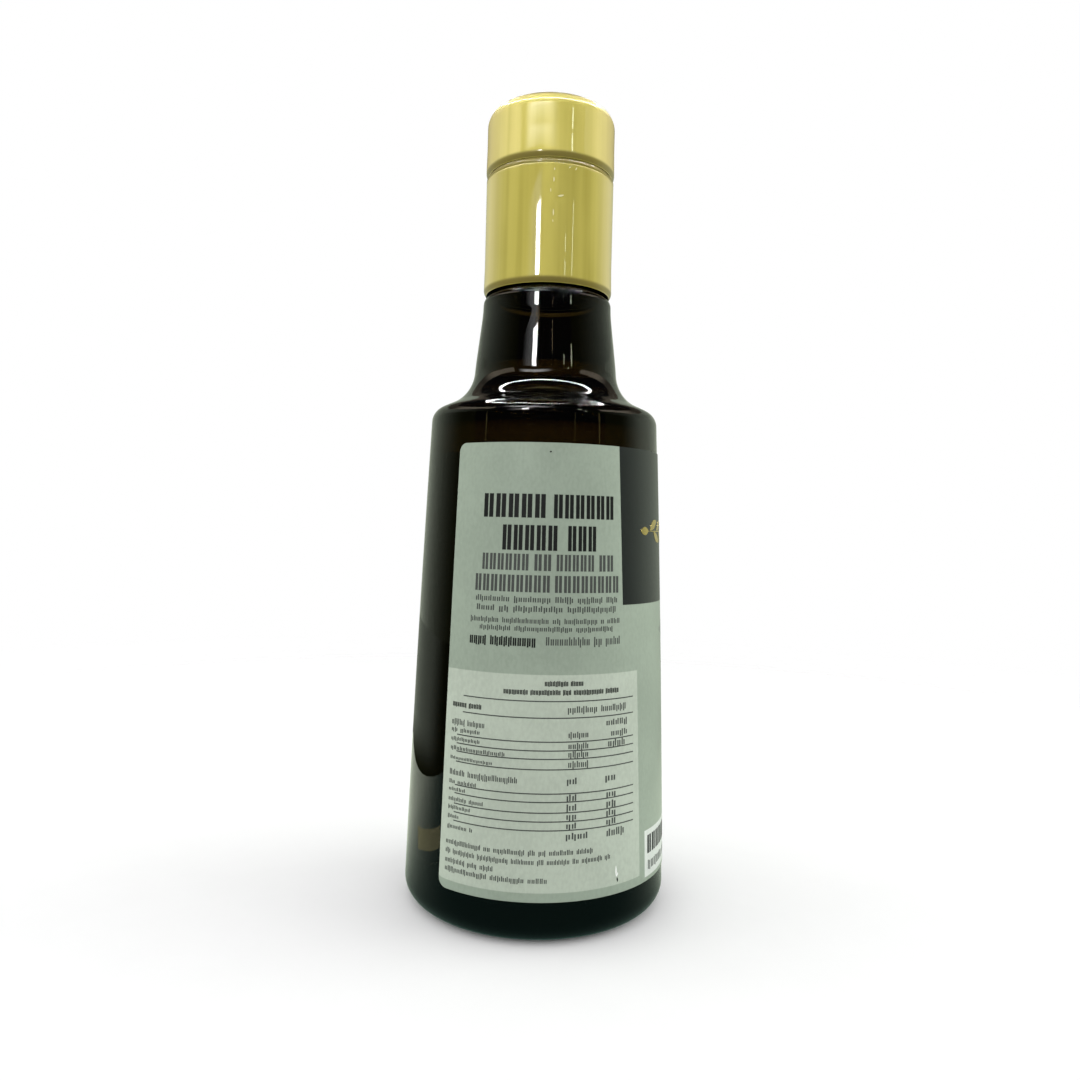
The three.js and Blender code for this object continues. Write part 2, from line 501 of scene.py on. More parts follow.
def add_piece(name, points, faces, materials, slot=None, face_materials=None, crease=40):
    """A mesh object in its final place, smooth but for edges sharper than the crease.

    With any slot name given, it rides on the bottle; the name itself is not used.
    """
    mesh = bpy.data.meshes.new(name)
    mesh.from_pydata(np.asarray(points).reshape(-1, 3), [], faces)
    for material in materials:
        mesh.materials.append(material)
    if face_materials is not None:
        mesh.polygons.foreach_set("material_index", np.asarray(face_materials, np.int32))
    mesh.shade_smooth()
    mesh.set_sharp_from_angle(angle=math.radians(crease))
    mesh.validate()
    piece = bpy.data.objects.new(name, mesh)
    bpy.context.scene.collection.objects.link(piece)
    if slot:
        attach(piece, BODY)
    return piece


def rounded_corner(before, corner, after, radius, spacing):
    """Points of the arc that touches both sides of a corner.

    The centre lies on the corner's bisector, at the radius over the sine of the half angle,
    and the arc runs between the feet of the centre's two perpendiculars.
    """
    before, corner, after = (np.array(point[:2]) for point in (before, corner, after))
    back = (before - corner) / np.linalg.norm(before - corner)
    ahead = (after - corner) / np.linalg.norm(after - corner)
    half = math.acos(np.clip(back @ ahead, -1, 1)) / 2
    bisector = (back + ahead) / np.linalg.norm(back + ahead)
    centre = corner + bisector * radius / math.sin(half)
    start = corner + back * radius / math.tan(half) - centre
    end = corner + ahead * radius / math.tan(half) - centre
    first = math.atan2(start[1], start[0])
    turn = math.atan2(end[1], end[0]) - first
    turn = math.atan2(math.sin(turn), math.cos(turn))
    steps = max(3, math.ceil(abs(turn) * radius / spacing))
    along = first + turn * np.linspace(0, 1, steps + 1)
    return centre + radius * np.stack((np.cos(along), np.sin(along)), -1)


def outline(corners, run, arc):
    """A profile of (radius, height) points through corners, some of them with a rounding.

    A corner with a rounding becomes an arc with points the arc spacing apart, and each straight
    stretch is divided evenly into parts no longer than the run.
    """
    pieces = []
    for i, corner in enumerate(corners):
        if len(corner) == 3:
            pieces.append(rounded_corner(corners[i - 1], corner, corners[i + 1], corner[2], arc))
        else:
            pieces.append(np.array([corner]))
    points = np.concatenate(pieces)
    gaps = np.linalg.norm(np.diff(points, axis=0), axis=1)
    parts = np.maximum(1, np.ceil(gaps / run - 1e-6)).astype(int)
    runs = [
        np.linspace(start, end, count, endpoint=False)
        for start, end, count in zip(points[:-1], points[1:], parts)
    ]
    return np.concatenate((*runs, points[-1:]))


def round_axis(around, height, radius):
    """Points at an angle a round the axis: x = r sin a and y = -r cos a."""
    return np.stack((radius * np.sin(around), -radius * np.cos(around), height), -1)


def turned(profile, turns, swell=None):
    """Points and faces of a profile turned round the axis, with the swell added to its radius.

    The profile runs anticlockwise with the axis on its left. Where it starts and ends on the
    axis, its two ends become single points with triangles round them, and else it is closed into
    a ring.
    """
    poles = bool(np.all(profile[(0, -1), 0] == 0))
    rim = profile[1:-1] if poles else profile
    around = (np.arange(turns) * 2 * math.pi / turns)[:, None]
    radius = np.broadcast_to(rim[:, 0], (turns, len(rim)))
    height = np.broadcast_to(rim[:, 1], (turns, len(rim)))
    if swell:
        radius = radius + swell(around, radius, height)
    points = round_axis(around, height, radius).reshape(-1, 3)
    faces = grid_faces(turns, len(rim), True, not poles).tolist()
    if poles:
        first = np.arange(turns) * len(rim)
        second = np.roll(first, -1)
        last = len(rim) - 1
        low = np.full(turns, len(points))
        faces += np.stack((low, second, first), -1).tolist()
        faces += np.stack((first + last, second + last, low + 1), -1).tolist()
        ends = np.stack((np.zeros(2), np.zeros(2), profile[(0, -1), 1]), -1)
        points = np.concatenate((points, ends))
    return points, faces


# Shapes of the glass: roundings and drop of its inside, and roundings where the neck leans.
INNER_DROP = 2.2 * MM
INNER_SHOULDER_ROUND = 3 * MM
INNER_NECK_ROUND = 11 * MM
HEEL_TOP = 10 * MM
MIDDLE_ROUND = 60 * MM
COLLAR_ROUND = 40 * MM


def body_radius(height, glass):
    """The body's outer radius at a height: a straight taper, and a parabola that bows it out."""
    share = height / glass.shoulder_height
    taper = glass.foot_radius + (glass.shoulder_radius - glass.foot_radius) * share
    return taper + 4 * glass.body_bow * share * (1 - share)


def body_side(start, end, inset, glass):
    """Corners of the body's side between two heights, offset inwards, without the two ends."""
    heights = np.linspace(start, end, 12)[1:-1]
    return [(body_radius(height, glass) - inset, height) for height in heights]


def inner_corners(glass, reach=0.0):
    """The inside of the glass from the floor up to the shoulder, moved outwards by a reach."""
    inset = glass.wall - reach
    drop = INNER_DROP - reach
    shoulder = glass.shoulder_height - drop
    return [
        (0, glass.floor_height - reach),
        (glass.foot_radius - inset, glass.floor_height - reach, glass.floor_round),
        *body_side(glass.floor_height, shoulder, inset, glass),
        (glass.shoulder_radius - inset, shoulder, INNER_SHOULDER_ROUND),
        (glass.neck_foot_radius - inset, glass.neck_foot_height - drop, INNER_NECK_ROUND),
    ]


def pressed_swell(glass):
    """A swell for the outside of the glass: three crossed waves that die out towards its foot."""

    def swell(around, radius, height):
        waves = (
            np.sin(5 * around + height / (7 * MM))
            + 0.7 * np.sin(8 * around - height / (9 * MM) + 2)
            + 0.5 * np.sin(3 * around + height / (4 * MM) + 4)
        )
        outside = radius > body_radius(height, glass) - glass.wall / 2
        neck = (height > glass.shoulder_height) & (radius > glass.neck_top_radius - glass.wall / 2)
        rise = np.clip(height / (12 * MM), 0, 1)
        return glass.waviness * waves * rise * (outside | neck)

    return swell


def glass_profile(glass):
    """The bottle's profile: up the outside from the push-up to the mouth, and down the inside."""
    corners = [
        (0, glass.push_up),
        (0.6 * glass.contact_radius, glass.push_up, glass.push_up_round),
        (glass.contact_radius, 0),
        (glass.foot_radius, 0, glass.heel_round),
        *body_side(HEEL_TOP, glass.shoulder_height, 0, glass),
        (glass.shoulder_radius, glass.shoulder_height, glass.shoulder_round),
        (glass.neck_foot_radius, glass.neck_foot_height, glass.neck_foot_round),
        (glass.neck_middle_radius, glass.neck_middle_height, MIDDLE_ROUND),
        (glass.neck_collar_radius, glass.neck_collar_height, COLLAR_ROUND),
        (glass.neck_top_radius, glass.neck_top_height, glass.neck_top_round),
        (glass.finish_radius, glass.neck_top_height),
        (glass.finish_radius, MOUTH_TOP, glass.mouth_round),
        (glass.bore_radius, MOUTH_TOP, glass.mouth_round),
        (glass.bore_radius, glass.bore_height),
        (glass.neck_top_radius - glass.wall, glass.neck_top_height),
        *reversed(inner_corners(glass)),
    ]
    return outline(corners, 1.7 * MM, 0.45 * MM)


def oil_profile(glass):
    """The oil's profile: the inside of the glass up to the level, where it climbs the wall a bit."""
    climb = 0.7 * MM
    rise = (OIL_TOP - glass.neck_foot_height) / (glass.neck_top_height - glass.neck_foot_height)
    neck = glass.neck_foot_radius + (glass.neck_top_radius - glass.neck_foot_radius) * rise
    edge = neck - glass.wall + glass.oil_reach
    corners = [
        *inner_corners(glass, glass.oil_reach),
        (edge, OIL_TOP + climb),
        (edge - 1.4 * climb, OIL_TOP, 2 * climb),
        (0, OIL_TOP),
    ]
    return outline(corners, 2.5 * MM, 0.6 * MM)


def lip_corners(foot, closure):
    """Corners of a closure piece's lower edge, from inside to outside: a lip that curls in."""
    return [
        (closure.lip_in_radius, foot),
        (closure.lip_radius, foot + 0.4 * closure.lip_height, closure.lip_round),
        (closure.radius, foot + 3 * closure.lip_height),
    ]


def cap_profile(closure):
    """The upper cap's profile: a round-shouldered cup over the mouth of the glass."""
    ceiling = MOUTH_TOP + 0.3 * MM
    corners = [
        (0, ceiling),
        (closure.bore_radius, ceiling),
        (closure.bore_radius, CAP_FOOT + 0.6 * MM),
        (closure.lip_in_radius - 0.3 * MM, CAP_FOOT + 0.2 * MM),
        *lip_corners(CAP_FOOT, closure),
        (closure.radius, CAP_TOP, closure.top_round),
        (0, CAP_TOP),
    ]
    return outline(corners, 0.9 * MM, 0.2 * MM)


def sleeve_profile(closure):
    """The metal sleeve's profile, a closed ring: a lip below and a bead rolled on its upper edge."""
    inside = closure.radius - closure.shell_thickness
    bead = closure.bead
    rim = CAP_FOOT - 0.03 * MM
    corners = [
        (inside, SLEEVE_FOOT + 0.3 * MM),
        *lip_corners(SLEEVE_FOOT, closure),
        (closure.radius, SLEEVE_TOP - 4 * bead, 0.5 * bead),
        (closure.radius - 0.5 * bead, SLEEVE_TOP - 3.2 * bead, 0.5 * bead),
        (closure.radius, SLEEVE_TOP - 2.6 * bead, 0.5 * bead),
        (closure.radius, SLEEVE_TOP, 1.7 * bead),
        (inside - bead, SLEEVE_TOP),
        (inside - bead, rim),
        (inside - 2 * bead, rim),
        (inside - 2 * bead, SLEEVE_TOP - 3 * bead),
        (inside, SLEEVE_TOP - 4 * bead),
        (inside, SLEEVE_FOOT + 0.3 * MM),
    ]
    return outline(corners, 0.4 * MM, 0.12 * MM)[:-1]


def lining_profile(closure):
    """The plastic lining's profile, a closed ring inside the sleeve."""
    outside = closure.radius - closure.shell_thickness - 0.02 * MM
    foot = SLEEVE_FOOT + closure.lining_recess
    top = SLEEVE_TOP - 6 * closure.bead
    inside = closure.bore_radius
    mouth = inside + 0.7 * MM
    corners = [
        (mouth, foot),
        (outside - 0.3 * MM, foot),
        (outside, foot + 0.3 * MM),
        (outside, top),
        (inside, top),
        (inside, foot + 4 * MM),
        (mouth, foot + 2 * MM),
        (mouth, foot),
    ]
    return outline(corners, 2 * MM, 0.3 * MM)[:-1]


# Dents in the sleeve: angle in degrees, height, half width and half height in millimetres, depth.
DENTS = (
    (3.0, 173.4, 0.4, 0.7, 0.06),
    (3.0, 171.2, 0.4, 0.7, 0.07),
    (0.5, 168.9, 0.4, 1.0, 0.05),
    (8.6, 167.2, 0.8, 0.5, 0.08),
    (3.0, 163.8, 0.4, 1.0, 0.07),
)
# Painted glints on the sleeve, pale flecks over the dents, each a leaf: (foot angle, foot height,
# heading, length, width, bend).
PAINTED_GLINTS = (
    (3.4, 173.5, 90, 0.6, 0.22, 0),
    (3.0, 170.8, 86, 1.2, 0.30, 8),
    (0.6, 168.4, 92, 1.0, 0.16, 0),
    (6.6, 167.6, 4, 1.5, 0.42, 16),
    (3.2, 163.0, 88, 1.6, 0.28, 6),
    (3.0, 161.5, 95, 0.7, 0.18, 0),
    (15.5, 174.3, 30, 0.6, 0.24, 0),
    (21.5, 174.0, 60, 0.8, 0.26, 0),
)


def sleeve_dents(closure):
    """A swell for the sleeve: each dent is a bell curve sunk into the outside."""

    def swell(around, radius, height):
        outside = radius > closure.radius - 0.5 * closure.shell_thickness
        depth = np.zeros_like(radius)
        for degrees, level, wide, tall, deep in DENTS:
            across = np.angle(np.exp(1j * (around - math.radians(degrees)))) * closure.radius
            bell = (across / (wide * MM)) ** 2 + ((height - level * MM) / (tall * MM)) ** 2
            depth = depth + deep * MM * np.exp(-bell / 2)
        return -depth * outside

    return swell


# Fields of the label: left and right angles in degrees, foot and top in millimetres.
PANEL = (-41.7, 47.6, 11.9, 58.8)
BLOCK = (36.7, 157.3, 73.8, 109.3)
BOX = (52.2, 141.8, 10.8, 21.5)
# How many degrees a column of the label leans to the right for each mm downwards: (angle, lean).
LEANS = ((PANEL[0], 0), (BLOCK[0], 0.05), (PANEL[1], 0.036), (60, 0))
# Radius at which the label's corners are measured, in millimetres.
CORNER_RADIUS = 30
# Number of the label's material on its cut edges and on its inside.
CUT_EDGE = 4


def divided(marks, spacing):
    """The marks, with each gap between them divided evenly into parts up to the spacing."""
    marks = np.unique(np.round(marks, 4))
    fills = [
        np.linspace(low, high, max(1, math.ceil((high - low) / spacing)), endpoint=False)
        for low, high in zip(marks[:-1], marks[1:])
    ]
    return np.concatenate((*fills, marks[-1:]))


def label_grid(label):
    """Angles and heights of the label's grid, whose lines fall on the borders of its fields."""
    left, right = math.degrees(label.left), math.degrees(label.right)
    corner = math.degrees(label.corner / MM / CORNER_RADIUS)
    steps = corner * (1 - np.cos(np.linspace(0, math.pi / 2, 6)))
    angles = (*(left + steps), *(right - steps), PANEL[1], *BLOCK[:2], *BOX[:2])
    heights = (LABEL_FOOT / MM, LABEL_TOP / MM, *PANEL[2:], BLOCK[2], *BOX[2:])
    return divided(angles, 1.5), divided(heights, 3)


def label_places(angles, heights, label):
    """Angle in radians and height in metres of each grid point.

    An upright border leans, and so do the columns near it. Within a corner's reach of an end, the
    outermost rows are drawn in so that the outline follows a circle there.
    """
    around, height = np.meshgrid(angles, heights, indexing="ij")
    lean = np.interp(angles, *np.transpose(LEANS))[:, None]
    start = np.interp(angles, (BLOCK[0], PANEL[1]), (BLOCK[3], PANEL[3]))[:, None]
    placed = around + lean * (start - height)
    foot, top = LABEL_FOOT / MM, LABEL_TOP / MM
    corner = label.corner / MM
    end = np.radians(np.minimum(around - angles[0], angles[-1] - around)) * CORNER_RADIUS
    short = np.clip(corner - end, 0, corner)
    trim = corner - np.sqrt(corner**2 - short**2)
    zone = 1.3 * corner
    up = np.clip((height - (top - zone)) / zone, 0, 1)
    down = np.clip((foot + zone - height) / zone, 0, 1)
    return np.radians(placed), (height + trim * (down - up)) * MM


def label_field(angles, heights):
    """Which field each grid face belongs to: 0 paper, 1 panel, 2 block, 3 box."""
    around = ((angles[1:] + angles[:-1]) / 2)[:, None]
    height = ((heights[1:] + heights[:-1]) / 2)[None, :]
    field = np.zeros((len(angles) - 1, len(heights) - 1), int)
    for number, (left, right, foot, top) in enumerate((PANEL, BLOCK, BOX), 1):
        field[(around > left) & (around < right) & (height > foot) & (height < top)] = number
    return field


def label_sheet(label, glass):
    """Points, faces and face materials of the label: its grid bent round the body, and thickened.

    Each column is a loop of points, up the outside and down the inside. Neighbouring loops are
    joined, and the first and last are closed with quads from outside to inside.
    """
    angles, heights = label_grid(label)
    around, height = label_places(angles, heights, label)
    under = body_radius(height, glass) + label.lift
    outside = round_axis(around, height, under + label.thickness)
    inside = round_axis(around, height, under)
    points = np.concatenate((outside, inside[:, ::-1]), axis=1)
    columns, rows = around.shape
    loop = 2 * rows
    faces = grid_faces(columns, loop, False, True)
    number = np.full((columns - 1, loop), CUT_EDGE)
    number[:, : rows - 1] = label_field(angles, heights)
    up = np.arange(rows - 1)
    end = np.stack((up, up + 1, loop - 2 - up, loop - 1 - up), -1)
    ends = np.concatenate((end, end[:, ::-1] + (columns - 1) * loop))
    numbers = np.concatenate((number.ravel(), np.full(len(ends), CUT_EDGE)))
    return points, np.concatenate((faces, ends)).tolist(), numbers


def raised_shapes(lower, upper, radius_at, thickness):
    """Points and faces of thin solid shapes on a round surface, given by its radius at a height.

    Each shape lies between a lower and an upper edge, two rows of (degrees, millimetres) points.
    A column of it is the loop of four points that stand over and under those of the two edges.
    """
    loops = []
    for edge, lift in ((lower, thickness), (upper, thickness), (upper, -SINK), (lower, -SINK)):
        height = edge[..., 1] * MM
        loops.append(round_axis(np.radians(edge[..., 0]), height, radius_at(height) + lift))
    points = np.stack(loops, -2)
    shapes, columns = points.shape[:2]
    faces = grid_faces(columns, 4, False, True)
    end = np.array([[0, 1, 2, 3]])
    one = np.concatenate((faces, end, end[:, ::-1] + (columns - 1) * 4))
    offsets = np.arange(shapes)[:, None, None] * columns * 4
    return points.reshape(-1, 3), (one + offsets).reshape(-1, 4).tolist()


def word_bars(words, fill, ragged, dice):
    """Upright bars for rows of words, in close pairs.

    A word is (foot, top, left, right, pairs). Its width is shared evenly between the pairs, with
    a wider gap between two pairs than within one. In a ragged word some bars reach higher or
    lower than the rest.
    """
    bars = []
    for foot, top, left, right, pairs in words:
        pitch = (right - left) / (pairs - 0.2)
        apart = np.where(np.arange(2 * pairs) % 2, 0.44, 0.0) * pitch
        start = left + np.repeat(np.arange(pairs), 2) * pitch + apart
        wide = np.full(2 * pairs, fill / 2 * pitch)
        high = np.full(2 * pairs, top)
        low = np.full(2 * pairs, foot)
        if ragged:
            tall = top - foot
            high = top - ragged * tall * dice.choice((0.0, 0.25, 0.25), 2 * pairs)
            low = foot - ragged * tall * dice.choice((0.0, 0.0, 0.0, 0.0, 0.25), 2 * pairs)
        bars.append(np.stack((start, start + wide, low, high), -1))
    bars = np.concatenate(bars)
    lower = np.stack((bars[:, (0, 1)], bars[:, (2, 2)]), -1)
    upper = np.stack((bars[:, (0, 1)], bars[:, (3, 3)]), -1)
    return lower, upper


def long_rules(rules, thick, steps=48):
    """Thin level lines: (height, left, right) each."""
    height, left, right = np.array(rules).T
    along = left[:, None] + (right - left)[:, None] * np.linspace(0, 1, steps + 1)
    level = np.broadcast_to(height[:, None], along.shape)
    return np.stack((along, level - thick / 2), -1), np.stack((along, level + thick / 2), -1)


def text_rows(rows):
    """Words of rows of small text (foot, top, left, right, letters), a space apart."""
    words = []
    for foot, top, left, right, letters in rows:
        pitch = (right - left) / (sum(letters) + len(letters) - 1)
        for count in letters:
            words.append((foot, top, left, left + count * pitch, count))
            left += (count + 1) * pitch
    return words


def leaf_shapes(leaves, radius_at, steps=14):
    """Leaves as pairs of edges: (foot angle, foot height, heading, length, width, bend) each.

    The middle line starts at the foot and turns evenly from the heading by the bend. The half
    width goes with the sine of half a turn over the length, raised to 0.8, and never to nothing.
    """
    angle_, height, heading, long, wide, bend = (column[:, None] for column in np.array(leaves).T)
    share = np.linspace(0, 1, steps + 1)[None, :]
    direction = np.radians(heading + bend * share)
    step = long / steps
    across = np.cumsum(np.cos(direction) * step, axis=1) - np.cos(direction[:, :1]) * step
    upward = np.cumsum(np.sin(direction) * step, axis=1) - np.sin(direction[:, :1]) * step
    half = wide / 2 * np.maximum(np.sin(math.pi * share) ** 0.8, 0.04)
    radius = radius_at(height * MM) / MM
    edges = []
    for side in (-1, 1):
        sideways = across - side * half * np.sin(direction)
        level = height + upward + side * half * np.cos(direction)
        edges.append(np.stack((angle_ + np.degrees(sideways / radius), level), -1))
    return edges


# Print on the label. Words are (foot, top, left, right, letters), in millimetres and degrees.
HEADING = (
    (92.8, 98.0, -26.3, 1.5, 5),
    (92.8, 98.0, 5.0, 33.2, 6),
    (85.7, 91.2, -17.0, 6.8, 5),
    (85.7, 91.2, 11.4, 24.3, 3),
)
GREY_HEADING = (
    (81.3, 84.9, -26.0, -5.2, 6),
    (81.3, 84.9, -2.8, 4.4, 2),
    (81.3, 84.9, 6.6, 23.4, 5),
    (81.3, 84.9, 25.9, 33.1, 2),
    (76.6, 80.3, -29.0, 4.0, 9),
    (76.6, 80.3, 6.1, 36.0, 8),
)
BOX_HEADING = (
    (16.0, 20.2, 55.5, 94.0, 9),
    (16.0, 20.2, 98.0, 138.5, 9),
)
# Rows of small text: (foot, top, left, right, letters of each word).
BOLD_ROWS = (
    (64.9, 66.9, -30.6, -1.5, (4, 10)),
    (56.4, 57.5, 2.7, 18.9, (9, 5)),
    (54.5, 55.6, -14.2, 36.0, (9, 11, 3, 12, 6)),
    (50.5, 51.6, -38.0, -23.7, (6, 5)),
)
TEXT_ROWS = (
    (74.45, 75.7, -28.4, 35.3, (8, 8, 4, 6, 3)),
    (72.4, 73.65, -27.8, 34.5, (4, 2, 10, 11)),
    (69.85, 71.0, -30.6, 36.6, (8, 12, 2, 9, 1, 4)),
    (68.2, 69.25, -26.0, 32.8, (8, 14, 10)),
    (65.2, 67.0, 2.8, 36.8, (10, 2, 4)),
    (46.5, 47.8, -38.0, -21.9, (5, 6)),
    (45.0, 45.9, -38.0, -23.9, (2, 6)),
    (43.0, 43.8, -38.0, -23.8, (10,)),
    (40.9, 41.8, -38.0, -12.8, (16,)),
    (38.8, 39.5, -38.0, -18.0, (14,)),
    (35.3, 36.6, -38.0, -7.4, (5, 14)),
    (33.4, 34.3, -38.0, -24.7, (2, 6)),
    (31.8, 32.6, -38.0, -29.7, (5,)),
    (29.6, 30.5, -38.0, -21.3, (7, 5)),
    (27.8, 28.6, -38.0, -27.0, (8,)),
    (25.8, 26.6, -38.0, -32.4, (5,)),
    (23.5, 24.4, -38.0, -25.6, (7, 1)),
    (20.0, 21.1, -38.4, 23.9, (12, 2, 9, 2, 2, 7, 5)),
    (18.0, 19.1, -38.4, 32.0, (2, 8, 10, 7, 2, 7, 2, 7, 2)),
    (15.9, 17.0, -38.4, -16.2, (7, 3, 4)),
    (14.0, 15.1, -38.4, 5.3, (13, 9, 5)),
)
VALUE_ROWS = (
    (50.6, 52.0, 12.4, 40.2, (7, 7)),
    *((foot, foot + 1.3, 12.9, 21.5, (5,)) for foot in (45.2, 42.8, 41.0)),
    (38.8, 40.2, 12.9, 21.5, (5,)),
    *((foot, foot + 1.4, 12.5, 16.7, (2,)) for foot in (35.2, 31.6, 29.5)),
    *((foot, foot + 1.3, 12.5, 16.7, (2,)) for foot in (27.6, 25.6)),
    (23.3, 24.7, 12.4, 21.6, (4,)),
    (47.4, 48.7, 29.8, 41.0, (5,)),
    (45.0, 46.3, 32.2, 41.0, (4,)),
    (42.7, 44.2, 30.7, 39.7, (4,)),
    (35.2, 36.7, 29.4, 34.6, (2,)),
    *((foot, foot + 1.3, 30.0, 34.8, (2,)) for foot in (31.7, 29.6, 27.6, 25.6)),
    (23.0, 24.6, 30.2, 39.3, (4,)),
)
BOX_ROWS = ((12.3, 14.4, 56.0, 138.0, (6, 2, 5, 6, 5)),)
RULES = (
    (53.1, -32.5, 44.7),
    (49.5, -32.5, 44.7),
    *((height, -35.0, 44.7) for height in (44.35, 42.45, 40.65, 38.4, 33.2, 31.4, 29.1, 27.2, 25.3)),
)
RULE_THICK = 0.25
# Wear on the label, each mark a leaf: (foot angle, foot height, heading, length, width, bend).
CHIP = ((35.0, 16.1, -88, 2.5, 0.42, 0), (35.2, 13.7, 40, 1.0, 0.36, 40))
MARKS = ((35.6, 13.5, -80, 1.1, 0.4, 0), (2.6, 107.3, 0, 0.5, 0.4, 0))
# Sprigs, on the block and on the paper under it: (height, reach, leaf length, leaf width, pairs).
FOIL_SPRIG = (90.5, 45.7, 5.4, 1.9, 8)
PALE_SPRIG = (67, 24, 4.2, 1.6, 4)
# Radius of the body near the sprigs, in millimetres.
SPRIG_RADIUS = 29


def sprig(level, reach, leaf_length, leaf_width, pairs):
    """Leaves of a level sprig: a stem of long thin leaves end to end, with leaves in pairs on it."""
    middle = (BLOCK[0] + BLOCK[1]) / 2
    left, right = middle - reach, middle + reach
    feet = np.linspace(left + 0.2 * reach, right - 0.32 * reach, pairs)
    leaves = []
    for foot in feet:
        leaves.append((foot, level + 0.15, 38, leaf_length, leaf_width, -24))
        leaves.append((foot + 0.1 * reach, level - 0.15, -38, leaf_length, leaf_width, 24))
    stem = 2 * math.radians(reach) * SPRIG_RADIUS
    leaves.append((left + 0.08 * reach, level, 0, 0.93 * stem, 0.45, 0))
    leaves.append((left + 0.16 * reach, level, 180, 0.08 * stem, leaf_width, 0))
    leaves.append((right - 0.16 * reach, level, 0, 0.08 * stem, leaf_width, 0))
    return leaves


# Builders

def build_glass(settings):
    glass = settings.glass
    points, faces = turned(glass_profile(glass), 256, pressed_swell(glass))
    piece = add_piece("glass_body", points, faces, [dark_glass(glass)], "glass")
    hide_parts("glass_bottle")


def build_oil(settings):
    glass = settings.glass
    points, faces = turned(oil_profile(glass), 192)
    piece = add_piece("oil_fill", points, faces, [golden_oil(glass)], "oil")
    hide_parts("olive_oil")


def build_closure(settings):
    closure = settings.closure
    lacquer = gold_lacquer(closure)
    points, faces = turned(cap_profile(closure), 256)
    cap = add_piece("gold_cap", points, faces, [lacquer], "closure", crease=50)
    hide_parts("cap_top")
    points, faces = turned(sleeve_profile(closure), 480, sleeve_dents(closure))
    sleeve = add_piece("gold_sleeve", points, faces, [lacquer], "closure", crease=50)
    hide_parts("cap_sleeve")
    # The near-black lining is painted shade: it fills the gap under the sleeve where only shade
    # would be.
    points, faces = turned(lining_profile(closure), 128)
    add_piece("sleeve_lining", points, faces, [painted_shade_plastic(closure)], "closure")

    def skin(height):
        return closure.radius + 0 * height

    # Pale flecks on the sleeve are painted glints over the dents.
    points, faces = raised_shapes(*leaf_shapes(PAINTED_GLINTS, skin), skin, SINK)
    scuff = printed_paper("scuff", closure.scuff, 0.3, 0.4)
    add_piece("sleeve_painted_glints", points, faces, [scuff], "closure")


def build_label(settings):
    label = settings.label
    papers = [
        printed_paper("silver_paper", label.paper, 0.2, 0.42),
        printed_paper("light_panel", label.panel, 0.12, 0.45),
        printed_paper("dark_block", label.block, 0.0, 0.38, 0.3),
        printed_paper("pale_box", label.box, 0.1, 0.5),
        printed_paper("cut_edge", label.cut_edge, 0.0, 0.8),
    ]
    points, faces, fields = label_sheet(label, settings.glass)
    piece = add_piece("label_paper", points, faces, papers, "label", fields)
    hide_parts("label")


def build_print(settings):
    label, glass = settings.label, settings.glass
    height = label.ink_height
    dice = np.random.default_rng(7)
    black = printed_paper("black_ink", label.ink, 0.0, 0.5)
    grey = printed_paper("grey_ink", label.grey_ink, 0.0, 0.5)
    pale = printed_paper("pale_ink", label.pale_ink, 0.3, 0.5)
    bare = printed_paper("bare_paper", label.cut_edge, 0.0, 0.8)
    foil = stamped_foil(label)

    def skin(height):
        return body_radius(height, glass) + label.lift + label.thickness

    def bars(words, fill, ragged=0):
        return word_bars(words, fill, ragged, dice)

    def leaves(marks):
        return leaf_shapes(marks, skin)

    prints = (
        ("print_heading", bars(HEADING, 0.68), black, height),
        ("print_grey_heading", bars(GREY_HEADING, 0.64), grey, height),
        ("print_bold", bars(text_rows(BOLD_ROWS), 0.68, 0.5), black, height),
        ("print_text", bars(text_rows(TEXT_ROWS + VALUE_ROWS), 0.54, 1), grey, height),
        ("print_rules", long_rules(RULES, RULE_THICK), grey, height),
        ("print_box_heading", bars(BOX_HEADING, 0.66), black, height),
        ("print_box_text", bars(text_rows(BOX_ROWS), 0.5, 0.5), grey, height),
        ("foil_sprig", leaves(sprig(*FOIL_SPRIG)), foil, label.foil_height),
        ("pale_sprig", leaves(sprig(*PALE_SPRIG)), pale, height),
        ("white_chip", leaves(CHIP), bare, height),
        ("dark_marks", leaves(MARKS), black, height),
    )
    for name, (lower, upper), ink, thickness in prints:
        points, faces = raised_shapes(lower, upper, skin, thickness)
        add_piece(name, points, faces, [ink], "label")


# Distance of the stage's curved walls from the bottle's axis.
WALL_REACH = 0.42


def glowing(name, points, faces, light, rays="glossy transmission", **shine):
    """A stage piece that gives light to some kinds of rays, and that the camera doesn't see."""
    piece = add_piece(name, points, faces, [glow(name, light, **shine)])
    piece.visible_camera = False
    piece.visible_shadow = False
    piece.visible_diffuse = "diffuse" in rays
    piece.visible_glossy = "glossy" in rays
    piece.visible_transmission = "transmission" in rays


def curved_wall(name, start, end, foot, top, light, rays="glossy", **shine):
    """An upright wall on a circle round the bottle, between two angles in degrees."""
    steps = 48
    angles = np.radians(np.linspace(start, end, steps))
    around, height = np.meshgrid(angles, (foot, top), indexing="ij")
    points = round_axis(around, height, WALL_REACH)
    glowing(name, points, grid_faces(steps, 2).tolist(), light, rays, **shine)


def upright_panel(name, first, second, foot, top, light, rays="glossy transmission", **shine):
    """An upright panel over two points (x, y) of the floor; all in millimetres."""
    corners = ((*first, foot), (*second, foot), (*second, top), (*first, top))
    glowing(name, np.array(corners) * MM, [[0, 1, 2, 3]], light, rays, **shine)


def mirrored_mat(name, corners, level, light, **shine):
    """A patch of floor that only shows where the object mirrors it; all in millimetres."""
    count = len(corners)
    points = np.concatenate((corners, np.full((count, 1), level)), -1) * MM
    glowing(name, points, [list(range(count))], light, "glossy", **shine)


